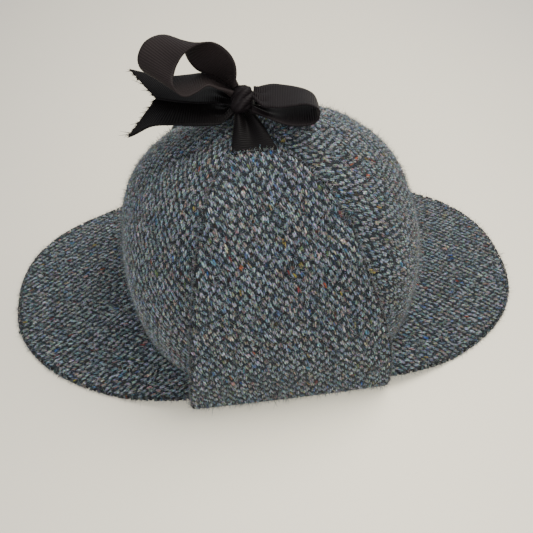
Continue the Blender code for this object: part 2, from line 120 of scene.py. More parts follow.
# How light the yarns are against the crown's: on the peaks darker, a painted shade matched to how
# they look, and on the turned edges, where the dark stands for the shadow in the crease
PEAK_PAINTED_SHADE = 0.92
EDGE_SHADE = 0.40
# How light each yarn's colour is taken
YARN_SHADES = (0.42, 0.80)

# How unevenly the floats lie: shift in shares of their spacing, tilt in radians, ranges of width,
# length and height, and shift of their corners across and along
FLOAT_SHIFT = 0.16
FLOAT_TILT = 0.16
PLY_TILT = 0.10
WIDTH_RANGE = (0.72, 1.18)
LENGTH_RANGE = (0.72, 1.2)
HEIGHT_RANGE = (0.55, 1.35)
CORNER_SHIFT = (0.07, 0.12)
FLOAT_MARGIN = 0.3
FLOAT_LIFT = 0.08
RECOLOURED_PLIES = 0.4

# How far round a turned edge its yarns go, in shares of half a turn, and where they start
EDGE_WRAP = 0.85
EDGE_START = 0.15

# Lowest heights that keep yarns and fibres off the floor
EDGE_LOWEST = 0.3
FLOAT_LOWEST = 0.02
FIBRE_LOWEST = 0.05

# Loose fibres: half their width, their number, their length, and the shares of them that are
# long or stand up, with how much longer or steeper these are
FIBRE_HALF_WIDTH = 0.09
FIBRES_PER_SQUARE_CM = 70.0
FLAP_HAIRINESS = 1.3
FIBRE_LENGTH = (1.1, 2.9)
LONG_FIBRES = 0.04
LONG_FIBRE_EXTRA = (1.0, 3.5)
STANDING_FIBRES = 0.7
STANDING_RISE = (0.6, 1.25)
FIBRE_SHADES = (0.35, 1.0)

# Seams between the gores
SEAM_DIP = 0.9
SEAM_FADE = 0.3
SEAM_SHARPNESS = 16

# Ribbon: spacing and height of its ribs, and depth of the pleats that the knot gathers
RIB_PITCH = 1.35
RIB_DEPTH = 0.16
PLEAT_DEPTH = 4.2
PLEATS = 2.5
PLACES_PER_RIB = 5
PLACES_ACROSS = 13

# Leads from the flaps to the knot: how much they gather, and their folds and arch
LEAD_GATHER = 0.60
LEAD_FOLDS = 1.5
LEAD_FOLD = 2.6
LEAD_ARCH = 1.5
LEAD_TUCK = 0.6

# Knot: its pleats, how much they slant, and how far its lower left bulges, where and how widely
KNOT_PLEATS = 2.5
KNOT_PLEAT_DEPTH = 1.5
KNOT_RIB_DEPTH = 0.12
KNOT_SLANT = 1.5
KNOT_LUMP = 2.6
KNOT_LUMP_AT = (2.2, -0.85)
KNOT_LUMP_SPREAD = (0.35, 0.5)

# Frayed threads of a tail's cut end
THREADS = 150
THREAD_RADIUS = 0.17
THREAD_SHORTEST = 0.4
THREAD_SPREAD = 0.40
THREAD_HIDDEN = 0.4

# Camera: what it looks at, which way it lies from there, and how far
CAMERA_AIM = (-1.4, 0.0, 17.6)
CAMERA_WAY = (-0.1162, -0.6590, 0.7431)
CAMERA_DISTANCE = 515.0
CAMERA_LENS = 51.46
CAMERA_ROLL = 1.5

PEAKS = (
    dict(name="left_peak", facing=-1.0, near_power=2.15, far_power=2.55),
    dict(name="right_peak", facing=1.0, near_power=2.30, far_power=2.45),
)
# Soft dents of the crown: plan angle, climb in degrees, depth in shares of the cloth, spread
DENTS = (
    dict(turn=205.0, climb=35.0, depth=1.0, spread=16.0),
    dict(turn=338.0, climb=30.0, depth=0.9, spread=15.0),
    dict(turn=150.0, climb=50.0, depth=0.8, spread=18.0),
    dict(turn=25.0, climb=52.0, depth=0.9, spread=17.0),
)
# Ear flap from the fold to its top: share of its length, where its two side edges lie in
# shares of its half width, and how closely it follows the crown's curve
FLAP_SHAPE = (
    dict(along=0.00, left=-1.00, right=0.98, hug=0.06),
    dict(along=0.15, left=-0.98, right=0.94, hug=0.16),
    dict(along=0.30, left=-0.95, right=0.84, hug=0.32),
    dict(along=0.48, left=-0.88, right=0.69, hug=0.50),
    dict(along=0.64, left=-0.80, right=0.58, hug=0.66),
    dict(along=0.80, left=-0.69, right=0.40, hug=0.78),
    dict(along=0.92, left=-0.56, right=0.20, hug=0.88),
    dict(along=1.00, left=-0.44, right=0.01, hug=0.92),
)
# Bow loops and tails, one row for each place along the ribbon, in shares of its width: where its
# middle is, right, up and towards the near side, the way its width lies, and how much of the width
# is left where the knot gathers it, all of it if full isn't given. A seat is a place on the knot:
# degrees round it, degrees of climb. The rows of both loops and of the lower tail were worked out
# by another program from edges read off the photograph by eye, and some then moved by hand.
LEFT_LOOP = (
    dict(seat=(180.0, 62.0), across=(0.1, 0.0, 1.0), full=0.50),
    dict(at=(-0.28, 0.43, 0.06), across=(0.36, -0.02, 0.92), full=0.80),
    dict(at=(-0.39, 0.57, 0.12), across=(0.46, 0.09, 0.89)),
    dict(at=(-0.55, 0.70, 0.20), across=(0.56, 0.23, 0.79)),
    dict(at=(-0.74, 0.81, 0.27), across=(0.61, 0.30, 0.73)),
    dict(at=(-0.91, 0.93, 0.33), across=(0.62, 0.18, 0.76)),
    dict(at=(-1.06, 1.05, 0.39), across=(0.58, -0.09, 0.81)),
    dict(at=(-1.24, 1.11, 0.45), across=(0.58, -0.34, 0.74)),
    dict(at=(-1.43, 1.08, 0.50), across=(0.60, -0.48, 0.64)),
    dict(at=(-1.61, 0.97, 0.54), across=(0.66, -0.56, 0.50)),
    dict(at=(-1.76, 0.80, 0.56), across=(0.74, -0.58, 0.34)),
    dict(at=(-1.84, 0.60, 0.57), across=(0.80, -0.52, 0.29)),
    dict(at=(-1.86, 0.42, 0.56), across=(0.80, -0.47, 0.36)),
    dict(at=(-1.78, 0.26, 0.54), across=(0.74, -0.46, 0.49)),
    dict(at=(-1.57, 0.15, 0.49), across=(0.55, -0.52, 0.65)),
    dict(at=(-1.32, 0.16, 0.42), across=(0.36, -0.60, 0.72)),
    dict(at=(-1.06, 0.25, 0.34), across=(0.23, -0.56, 0.79)),
    dict(at=(-0.80, 0.36, 0.24), across=(0.15, -0.48, 0.87), full=0.98),
    dict(at=(-0.52, 0.28, 0.12), across=(0.09, -0.46, 0.88), full=0.82),
    dict(seat=(180.0, 22.0), across=(0.0, -0.25, 0.96), full=0.50),
)
RIGHT_LOOP = (
    dict(seat=(8.0, 26.0), across=(0.0, -0.60, 0.80), full=0.55),
    dict(at=(0.43, 0.06, 0.10), across=(0.04, -0.70, 0.71), full=0.85),
    dict(at=(0.66, 0.07, 0.14), across=(0.01, -0.68, 0.73)),
    dict(at=(0.89, 0.06, 0.17), across=(-0.02, -0.66, 0.75)),
    dict(at=(1.13, 0.06, 0.19), across=(-0.04, -0.60, 0.80)),
    dict(at=(1.35, 0.05, 0.20), across=(-0.05, -0.52, 0.85)),
    dict(at=(1.52, -0.01, 0.22), across=(-0.04, -0.47, 0.88)),
    dict(at=(1.62, -0.10, 0.23), across=(0.0, -0.43, 0.90)),
    dict(at=(1.65, -0.20, 0.23), across=(0.01, -0.42, 0.91)),
    dict(at=(1.61, -0.29, 0.23), across=(0.01, -0.52, 0.86)),
    dict(at=(1.48, -0.33, 0.22), across=(0.02, -0.60, 0.80)),
    dict(at=(1.26, -0.34, 0.20), across=(0.01, -0.64, 0.77)),
    dict(at=(0.97, -0.33, 0.17), across=(0.01, -0.62, 0.78)),
    dict(at=(0.63, -0.29, 0.12), across=(0.01, -0.50, 0.86), full=0.90),
    dict(seat=(8.0, -38.0), across=(0.0, -0.40, 0.92), full=0.55),
)
LOWER_TAIL = (
    dict(seat=(176.0, -40.0), across=(0.0, -0.55, 0.83), full=0.50),
    dict(at=(-0.44, -0.34, 0.04), across=(0.0, -0.62, 0.78), full=0.85),
    dict(at=(-0.80, -0.32, 0.05), across=(0.0, -0.70, 0.71)),
    dict(at=(-1.14, -0.31, 0.05), across=(0.0, -0.73, 0.68)),
    dict(at=(-1.48, -0.31, 0.05), across=(0.0, -0.73, 0.68)),
    dict(at=(-1.84, -0.34, 0.04), across=(0.0, -0.73, 0.68)),
    dict(at=(-2.20, -0.46, 0.02), across=(0.04, -0.80, 0.60)),
)
UPPER_TAIL = (
    dict(seat=(198.0, -6.0), across=(0.0, -0.55, 0.84), full=0.45),
    dict(at=(-0.62, 0.17, -0.22), across=(0.04, -0.64, 0.77), full=0.92),
    dict(at=(-1.05, 0.19, -0.32), across=(0.10, -0.64, 0.76)),
    dict(at=(-1.55, 0.24, -0.34), across=(0.18, -0.66, 0.72)),
    dict(at=(-2.26, 0.36, -0.34), across=(0.24, -0.72, 0.64)),
)
LOWER_TAIL_SLANT = 0.56
UPPER_TAIL_SLANT = -0.50


# Colours

def linear(hexes):
    """sRGB hex, such as 8fa1ad, as linear red, green and blue."""
    shares = [int(hexes[i:i + 2], 16) / 255.0 for i in (0, 2, 4)]
    return tuple(s / 12.92 if s <= 0.04045 else ((s + 0.055) / 1.055) ** 2.4 for s in shares)


# Yarns that float on the tweed's face, with about how many of a hundred have each colour
FACE_YARNS = (
    ("8f9aa1", 17), ("76838e", 15), ("83898b", 14), ("63717b", 9), ("6f7a7a", 10),
    ("9ea6a7", 9), ("7d7b76", 10), ("5e7880", 3.5), ("857b73", 5), ("556888", 2.2),
    ("44718c", 1.0), ("2f558c", 0.35), ("70302f", 0.9), ("8c4f33", 0.35), ("85783c", 0.6),
    ("b3a999", 1.2), ("9a7d79", 1.0), ("5f6d49", 0.8),
)
# Yarns that lie under them
GROUND_YARNS = (
    ("1d242d", 24), ("252627", 18), ("2c353f", 16), ("363737", 10), ("26364b", 9),
    ("3b2c26", 7), ("41484b", 7), ("4a2427", 2.5), ("22404f", 3), ("4a3e28", 2.5),
)


def yarn_colours(palette, count):
    """A random colour from the palette for each of count yarns, no two quite alike."""
    shades = np.array([linear(shade) for shade, _ in palette])
    odds = np.array([share for _, share in palette], float)
    picked = shades[RANDOM.choice(len(palette), count, p=odds / odds.sum())]
    return picked * RANDOM.uniform(*YARN_SHADES, (count, 1))


# Lines and directions, for whole arrays at once

def unit(vectors):
    """The same directions, each of length one."""
    return vectors / np.maximum(np.linalg.norm(vectors, axis=-1, keepdims=True), 1e-9)


def run_along(line):
    """The length along a line of places, up to each of them."""
    return np.concatenate(((0.0,), np.cumsum(np.linalg.norm(np.diff(line, axis=0), axis=1))))


def read_line(at, keys, line):
    """Places or directions along a line, read between its keys."""
    return np.stack([np.interp(at, keys, line[:, k]) for k in range(3)], -1)


def keep_above(spots, lowest=0.0):
    """Lift the places that lie below this height."""
    spots[..., 2] = np.maximum(spots[..., 2], lowest)


# Shapes of the hat, for whole arrays of places at once

def plan_radius(turn, half_length, half_width, power):
    """Distance from the middle to a rounded oval, in the direction turn."""
    along = np.abs(np.cos(turn) / half_length) ** power
    beside = np.abs(np.sin(turn) / half_width) ** power
    return (along + beside) ** (-1.0 / power)


def rim_height(turn):
    """Height of the crown's lower edge."""
    return RIM_HEIGHT + RIM_ARCH * np.cos(turn) ** 2


def dent_depth(turn, climb):
    """How far the soft dents press the crown in."""
    total = np.zeros_like(turn)
    for dent in DENTS:
        round_by = (np.degrees(turn) - dent["turn"] + 180.0) % 360.0 - 180.0
        up_by = np.degrees(climb) - dent["climb"]
        total += dent["depth"] * CROWN_CLOTH * np.exp(-(round_by ** 2 + up_by ** 2) / dent["spread"] ** 2)
    return total


def crown_point(turn, climb, inset=0.0):
    """Places on the crown: turn round the plan, climb from the rim to the top."""
    side = np.sin(turn) ** 2
    round_power = END_ROUND + (SIDE_ROUND - END_ROUND) * side
    rise_power = END_RISE + (SIDE_RISE - END_RISE) * side
    out = np.maximum(np.cos(climb), 0.0) ** (2.0 / round_power)
    up = np.maximum(np.sin(climb), 0.0) ** (2.0 / rise_power)
    bulge = CROWN_END_BULGE + (CROWN_SIDE_BULGE - CROWN_END_BULGE) * side
    radius = plan_radius(turn, CROWN_HALF_LENGTH, CROWN_HALF_WIDTH, PLAN_POWER)
    radius = (radius + bulge * np.sin(np.pi * up) - inset) * out
    foot = rim_height(turn)
    height = foot + (RIM_HEIGHT + CROWN_HEIGHT - inset - foot) * up
    return np.stack((radius * np.cos(turn), radius * np.sin(turn), height), -1)


def inside_crown(spots):
    """Which places lie inside the crown's outer face."""
    turn = np.arctan2(spots[..., 1], spots[..., 0])
    foot = rim_height(turn)
    up = (spots[..., 2] - foot) / (RIM_HEIGHT + CROWN_HEIGHT - foot)
    rise_power = END_RISE + (SIDE_RISE - END_RISE) * np.sin(turn) ** 2
    climb = np.arcsin(np.clip(up, 0.0, 1.0) ** (rise_power / 2.0))
    edge = crown_point(turn, climb)
    out = np.hypot(spots[..., 0], spots[..., 1])
    return (up < 1.0) & (out < np.hypot(edge[..., 0], edge[..., 1]))


def sag(spots, normals):
    """How far the crown has curved away, straight in from each place."""
    low = np.zeros(spots.shape[:-1])
    high = np.full(spots.shape[:-1], CROWN_HALF_WIDTH)
    for _ in range(18):
        middle = (low + high) / 2.0
        hit = inside_crown(spots - normals * middle[..., None])
        high = np.where(hit, middle, high)
        low = np.where(hit, low, middle)
    return low


def seam_depth(turn, climb):
    """How far the seams between the gores draw the crown in, from just above the rim."""
    nearness = np.abs(np.cos(turn * PANELS / 2.0)) ** SEAM_SHARPNESS
    return SEAM_DIP * nearness * np.minimum(climb / SEAM_FADE, 1.0)


class CrownPanel:
    """One gore of the crown: u round it and v up it, in millimetres on the cloth."""

    thickness = CROWN_CLOTH
    facing = 1.0
    spacing = FLOAT_SPACING
    shade = 1.0

    def __init__(self, index):
        self.grain = math.radians(GRAIN_TURN[index])
        self.lean = math.radians(math.copysign(YARN_LEAN, GRAIN_TURN[index] or 1.0))
        self.width = 2.0 * math.pi / PANELS
        self.middle = self.width * (index + 0.5)
        self.climbs = np.linspace(0.0, math.radians(CROWN_TOP_CLIMB), 240)
        line = crown_point(np.full(len(self.climbs), self.middle), self.climbs)
        self.rises = run_along(line)
        self.radii = np.hypot(line[:, 0], line[:, 1])

    def half_width(self, v):
        radius = np.interp(v, self.rises, self.radii)
        return np.maximum(radius * self.width / 2.0 - SEAM_GAP / 2.0, 0.0)

    def outer(self, u, v):
        climb = np.interp(v, self.rises, self.climbs)
        radius = np.interp(v, self.rises, self.radii)
        turn = self.middle + u / np.maximum(radius, 0.5)
        pressed = dent_depth(turn % (2.0 * math.pi), climb) + seam_depth(turn, climb)
        return crown_point(turn, climb, pressed)

    def margin(self, u, v):
        return np.where(self.half_width(v) > np.abs(u), v, -1.0)

    def sheet(self):
        rows, columns = 64, 33
        v = self.rises[-1] * np.linspace(0.0, 1.0, rows) ** 1.15
        share = np.linspace(-1.0, 1.0, columns)
        across = 0.5 * np.sin(share * math.pi / 2.0) + 0.5 * share
        v = np.repeat(v[:, None], columns, 1)
        return across[None, :] * self.half_width(v), v

    def span(self):
        reach = self.half_width(0.0) * 1.1
        return (-reach, reach, 0.0, self.rises[-1])


class Peak:
    """A peak: u across the hat and v outwards along it."""

    thickness = PEAK_CLOTH
    facing = -1.0
    spacing = PEAK_FLOAT_SPACING
    grain = 0.0
    # Painted shade: the peaks' yarns are drawn darker than the crown's
    shade = PEAK_PAINTED_SHADE

    def __init__(self, row):
        self.row = row
        self.lean = math.radians(PEAK_YARN_LEAN * row["facing"])
        self.flank = math.atan2(CROWN_HALF_WIDTH, FLAP_HALF_WIDTH)
        self.end = math.acos(PEAK_END_SHARE * FLAP_HALF_WIDTH / CROWN_HALF_LENGTH)

    def root(self, turn):
        root = plan_radius(turn, CROWN_HALF_LENGTH, CROWN_HALF_WIDTH, PLAN_POWER)
        return root + CROWN_END_BULGE * math.pi * PEAK_CLOTH / CROWN_HEIGHT + PIECE_GAP

    def edge(self, turn):
        power = np.where(turn * self.row["facing"] < 0.0, self.row["near_power"], self.row["far_power"])
        edge = plan_radius(
            turn, CROWN_HALF_LENGTH + PEAK_REACH, CROWN_HALF_WIDTH + PEAK_SIDE_REACH, power
        )
        tuck = self.flank - math.radians(PEAK_TUCK_BEFORE)
        beyond = np.clip((np.abs(turn) - tuck) / (self.end - tuck), 0.0, 1.0)
        root = plan_radius(turn, CROWN_HALF_LENGTH, CROWN_HALF_WIDTH, PLAN_POWER)
        return edge + (root + PEAK_END_STEP - edge) * beyond ** PEAK_TUCK_POWER

    def outer(self, u, v):
        turn = np.arctan2(u, v)
        radius = np.hypot(u, v)
        root, edge = self.root(turn), self.edge(turn)
        share = (radius - root) / (edge - root)
        fall = np.clip(share / (1.0 - PEAK_FOOT / PEAK_REACH), 0.0, 1.0) ** PEAK_FALL
        start = math.radians(PEAK_LIFT_FROM)
        lift = np.clip((np.abs(turn) - start) / (self.flank - start), 0.0, 1.0)
        edge_height = RIM_HEIGHT * lift * lift * (3.0 - 2.0 * lift)
        height = (rim_height(turn) + PIECE_GAP) * (1.0 - fall) + edge_height * fall
        spots = np.stack((v, u, height + PEAK_CLOTH), -1)
        spots[..., :2] *= self.row["facing"]
        return spots

    def margin(self, u, v):
        turn = np.arctan2(u, v)
        step = 0.01
        radius = self.edge(turn)
        slope = (self.edge(turn + step) - self.edge(turn - step)) / (2.0 * step)
        square_on = radius / np.hypot(radius, slope)
        gap = (radius - np.hypot(u, v)) * square_on
        hidden = (np.abs(turn) > self.end) | (np.hypot(u, v) < self.root(turn) - 1.0)
        return np.where(hidden, -1.0, gap)

    def free_edge(self):
        turn = np.linspace(-self.end * 0.97, self.end * 0.97, 400)
        return self.edge(turn) * np.sin(turn), self.edge(turn) * np.cos(turn)

    def sheet(self):
        rows, columns = 44, 121
        share = 1.0 - (1.0 - np.linspace(0.0, 1.0, rows)) ** 1.5
        turn = self.end * np.sin(math.pi / 2.0 * np.linspace(-1.0, 1.0, columns))
        turn = np.repeat(turn[None, :], rows, 0)
        root, edge = self.root(turn), self.edge(turn)
        radius = root + (edge - root) * share[:, None]
        return radius * np.sin(turn), radius * np.cos(turn)

    def span(self):
        reach = CROWN_HALF_WIDTH + 30.0
        return (-reach, reach, 20.0, CROWN_HALF_LENGTH + PEAK_REACH + 1.0)


class EarFlap:
    """A folded-up ear flap: u along the hat and v up it, below 0 at the fold and under the rim."""

    thickness = FLAP_CLOTH
    spacing = FLOAT_SPACING
    shade = 1.0

    def __init__(self, side, shorter):
        self.side = side
        self.facing = -side
        self.grain = math.radians(FLAP_GRAIN_TURN * -side)
        self.lean = math.radians(YARN_LEAN * side)
        self.climbs = np.linspace(0.0, math.pi / 2.0, 400)
        self.line = crown_point(np.full(len(self.climbs), math.pi / 2.0), self.climbs)
        back = self.line[:, 1] >= FLAP_TOP_BACK + shorter
        self.top_climb = self.climbs[back].max()
        tangent = np.gradient(self.line, axis=0)
        self.normal = unit(np.stack((tangent[:, 0] * 0.0, tangent[:, 2], -tangent[:, 1]), -1))
        run = run_along(self.line + self.normal * FLAP_STANDOFF)
        start = np.interp(FLAP_FOLD_CLIMB, self.climbs, run)
        self.runs = run - start
        self.length = np.interp(self.top_climb, self.climbs, self.runs)
        self.bend = FLAP_FOLD_RADIUS * math.pi / 2.0
        self.straight = 0.0
        lowest = self.middle(np.zeros(1), np.zeros(1))[0]
        self.straight = lowest[2] - FLAP_CLOTH / 2.0 - FLAP_FOLD_RADIUS

    def column(self, name, along):
        keys = [row["along"] for row in FLAP_SHAPE]
        return np.interp(along, keys, [row[name] for row in FLAP_SHAPE])

    def along(self, v):
        climb = np.interp(v, self.runs, self.climbs)
        share = (climb - FLAP_FOLD_CLIMB) / (self.top_climb - FLAP_FOLD_CLIMB)
        return np.clip(share, 0.0, 1.0), climb

    def middle(self, u, v):
        along, climb = self.along(np.maximum(v, 0.0))
        base = read_line(climb, self.climbs, self.line)
        normal = unit(read_line(climb, self.climbs, self.normal))
        base[..., 0] += u
        depth = FLAP_STANDOFF + FLAP_CLOTH / 2.0 - self.column("hug", along) * sag(base, normal)
        depth += FLAP_UNEVEN * np.sin(u / 15.0 + 1.0) * np.sin(v / 17.0) * np.clip(v / 20.0, 0.0, 1.0)
        base = base + normal * depth[..., None]
        if self.straight:
            half = FLAP_CLOTH / 2.0
            below = np.clip(-v, 0.0, self.straight)
            angle = np.clip((-v - self.straight) / FLAP_FOLD_RADIUS, 0.0, math.pi / 2.0)
            leg = np.maximum(-v - self.straight - self.bend, 0.0)
            base[..., 1] -= FLAP_FOLD_RADIUS * (1.0 - np.cos(angle)) + leg * LEG_IN
            low = half + FLAP_FOLD_RADIUS * (1.0 - np.sin(angle)) + leg * LEG_UP
            base[..., 2] = np.where(below < self.straight, base[..., 2] - below, low)
        base[..., 1] *= self.side
        return base

    def outer(self, u, v):
        spots = self.middle(u, v)
        step = 0.4
        over = self.middle(u + step, v) - self.middle(u - step, v)
        rise = self.middle(u, v + step) - self.middle(u, v - step)
        normal = unit(np.cross(over, rise) * -self.side)
        spots = spots + normal * FLAP_CLOTH / 2.0
        keep_above(spots)
        return spots

    def edges(self, v):
        along, _ = self.along(np.maximum(v, 0.0))
        turned = np.clip((FLAP_CORNER_FROM - v - self.straight) / (self.bend + FLAP_CORNER_FROM), 0.0, 1.0)
        rounded = FLAP_CORNER_ROUND * turned ** 2
        left = FLAP_HALF_WIDTH * self.column("left", along) + rounded
        return left, FLAP_HALF_WIDTH * self.column("right", along) - rounded

    def margin(self, u, v):
        left, right = self.edges(v)
        return np.minimum(np.minimum(u - left, right - u), self.length - v)

    def sheet(self):
        rows, columns = 76, 45
        v = np.linspace(-self.straight - self.bend - FLAP_LEG, self.length, rows)
        v = np.repeat(v[:, None], columns, 1)
        left, right = self.edges(v)
        share = np.linspace(-1.0, 1.0, columns)
        share = 0.5 * share + 0.5 * np.sin(share * math.pi / 2.0)
        share = (share[None, :] + 1.0) / 2.0
        return left + (right - left) * share, v

    def span(self):
        lowest = -self.straight - self.bend - 3.0
        return (-FLAP_HALF_WIDTH - 1.0, FLAP_HALF_WIDTH + 1.0, lowest, self.length)

    def free_edge(self):
        v = np.linspace(-self.straight - self.bend, self.length, 160)
        left, right = self.edges(v)
        top = np.linspace(left[-1], right[-1], 40)[1:-1]
        u = np.concatenate((left, top, right[::-1]))
        return u, np.concatenate((v, np.full(38, self.length), v[::-1]))


class TurnedEdge:
    """The rounded edge of a cloth: u along the edge, v round it from its face to its back."""

    facing = 1.0
    spacing = FLOAT_SPACING
    grain = 0.0
    lean = 0.0
    shade = EDGE_SHADE

    def __init__(self, cloth):
        u, v = cloth.free_edge()
        spots, normal = frame_of(cloth, u, v)
        self.half = cloth.thickness / 2.0
        self.middle = spots - normal * self.half
        self.normal = normal
        ahead = unit(np.gradient(self.middle, axis=0))
        outward = np.cross(ahead, normal)
        inner = self.middle.mean(0) - self.middle
        turned = (outward * inner).sum(1) > 0.0
        self.outward = outward * (-1.0 if turned.mean() > 0.5 else 1.0)
        self.run = run_along(self.middle)
        # Any place along it tells which way its faces turn
        some = 9
        if np.dot(np.cross(self.outward[some], normal[some]), ahead[some]) < 0.0:
            self.facing = -1.0

    def outer(self, u, v):
        lines = (self.middle, self.normal, self.outward)
        middle, normal, outward = (read_line(u, self.run, line) for line in lines)
        angle = (v / self.half)[..., None]
        spots = middle + (normal * np.cos(angle) + outward * np.sin(angle)) * self.half
        keep_above(spots, EDGE_LOWEST)
        return spots

    def margin(self, u, v):
        return np.minimum(u, self.run[-1] - u)

    def span(self):
        return (0.0, self.run[-1], EDGE_START, self.half * math.pi * EDGE_WRAP)


# Cloth built over those shapes

def frame_of(cloth, u, v, step=0.5):
    """Outer place and outward normal at u, v."""
    spots = cloth.outer(u, v)
    over = cloth.outer(u + step, v) - cloth.outer(u - step, v)
    rise = cloth.outer(u, v + step) - cloth.outer(u, v - step)
    return spots, unit(np.cross(over, rise)) * cloth.facing


def edge_drop(cloth, u, v):
    """How far the face falls towards the middle of the cloth at its turned edge."""
    if isinstance(cloth, (TurnedEdge, CrownPanel)):
        return np.zeros(np.shape(u))
    half = cloth.thickness / 2.0
    near = np.clip(1.0 - cloth.margin(u, v) / half, 0.0, 1.0)
    return half * (1.0 - np.sqrt(1.0 - near ** 2))


def new_object(name, data):
    """An object in the scene, with this mesh, light or camera."""
    thing = bpy.data.objects.new(name, data)
    bpy.context.scene.collection.objects.link(thing)
    return thing


def new_piece(name, spots, quads, materials, slots, colours, cloth_uv):
    """A mesh object from arrays of places in millimetres and of four-cornered faces."""
    mesh = bpy.data.meshes.new(name)
    mesh.from_pydata(spots * MM, [], quads)
    mesh.polygons.foreach_set("material_index", slots.astype(np.int32))
    mesh.polygons.foreach_set("use_smooth", np.ones(len(quads), bool))
    if colours is not None:
        layer = mesh.color_attributes.new("yarn_colour", "FLOAT_COLOR", "POINT")
        rgba = np.concatenate((colours, np.ones((len(colours), 1))), 1)
        layer.data.foreach_set("color", rgba.astype(np.float32).ravel())
    layer = mesh.uv_layers.new(name="cloth_mm")
    layer.data.foreach_set("uv", cloth_uv[quads.ravel()].astype(np.float32).ravel())
    for material in materials:
        mesh.materials.append(material)
    mesh.update()
    return new_object(name, mesh)


def grid_quads(rows, columns, first=0, turned=False):
    """Faces of one grid of places laid out row by row."""
    r, c = np.meshgrid(np.arange(rows - 1), np.arange(columns - 1), indexing="ij")
    a = (r * columns + c).ravel() + first
    quads = np.stack((a, a + 1, a + columns + 1, a + columns), -1)
    return quads[:, ::-1] if turned else quads


def copies(quads, places, count):
    """The same faces again for each of count alike pieces of so many places."""
    return (quads[None] + places * np.arange(count)[:, None, None]).reshape(-1, 4)


def rim_quads(rows, columns):
    """Faces that close the edge between an outer and an inner grid."""
    around = [(0, c) for c in range(columns)]
    around += [(r, columns - 1) for r in range(1, rows)]
    around += [(rows - 1, c) for c in range(columns - 2, -1, -1)]
    around += [(r, 0) for r in range(rows - 2, 0, -1)]
    here = np.array([r * columns + c for r, c in around])
    after = np.roll(here, -1)
    under = rows * columns
    return np.stack((after, here, here + under, after + under), -1)


def base_cloth(cloth):
    """The cloth itself: two faces with turned edges. Slots: 0 ground, 1 the wrong side."""
    u, v = cloth.sheet()
    rows, columns = u.shape
    spots, normal = frame_of(cloth, u, v)
    drop = edge_drop(cloth, u, v)[..., None]
    outer = spots - normal * (drop + GROUND_DEPTH)
    inner = spots - normal * (cloth.thickness - drop)
    if not isinstance(cloth, CrownPanel):
        keep_above(inner)
        keep_above(outer)
    turned = cloth.facing < 0.0
    quads = [grid_quads(rows, columns, 0, turned)]
    quads.append(grid_quads(rows, columns, rows * columns, not turned))
    rim = rim_quads(rows, columns)
    quads.append(rim[:, ::-1] if turned else rim)
    slots = np.concatenate([np.full(len(q), s) for q, s in zip(quads, (0, 1, 0))])
    places = np.concatenate((outer.reshape(-1, 3), inner.reshape(-1, 3)))
    uv = np.stack((np.tile(u.ravel(), 2), np.tile(v.ravel(), 2)), -1)
    return places, np.concatenate(quads), slots, uv


# A light float is two plies side by side; a dark one is a plain low swell between them.
# Where its places lie across and along it, and how high, in shares
LIGHT_FLOAT = dict(
    plies=(-0.46, 0.46), across=(-1.0, 0.0, 1.0), profile=(-0.1, 1.0, -0.1),
    along=(-1.0, -0.42, 0.42, 1.0), rise=(-0.35, 1.0, 1.0, -0.35), taper=(0.5, 1.0, 1.0, 0.5),
    width=0.27, length=0.84, height=0.46, yarns=FACE_YARNS, dye=1.12,
)
DARK_FLOAT = dict(
    plies=(0.0,), across=(-1.0, 0.0, 1.0), profile=(-0.2, 1.0, -0.2),
    along=(-1.0, 0.0, 1.0), rise=(-0.2, 1.0, -0.2), taper=(0.7, 1.0, 0.7),
    width=0.50, length=0.70, height=0.24, yarns=GROUND_YARNS, dye=0.70,
)


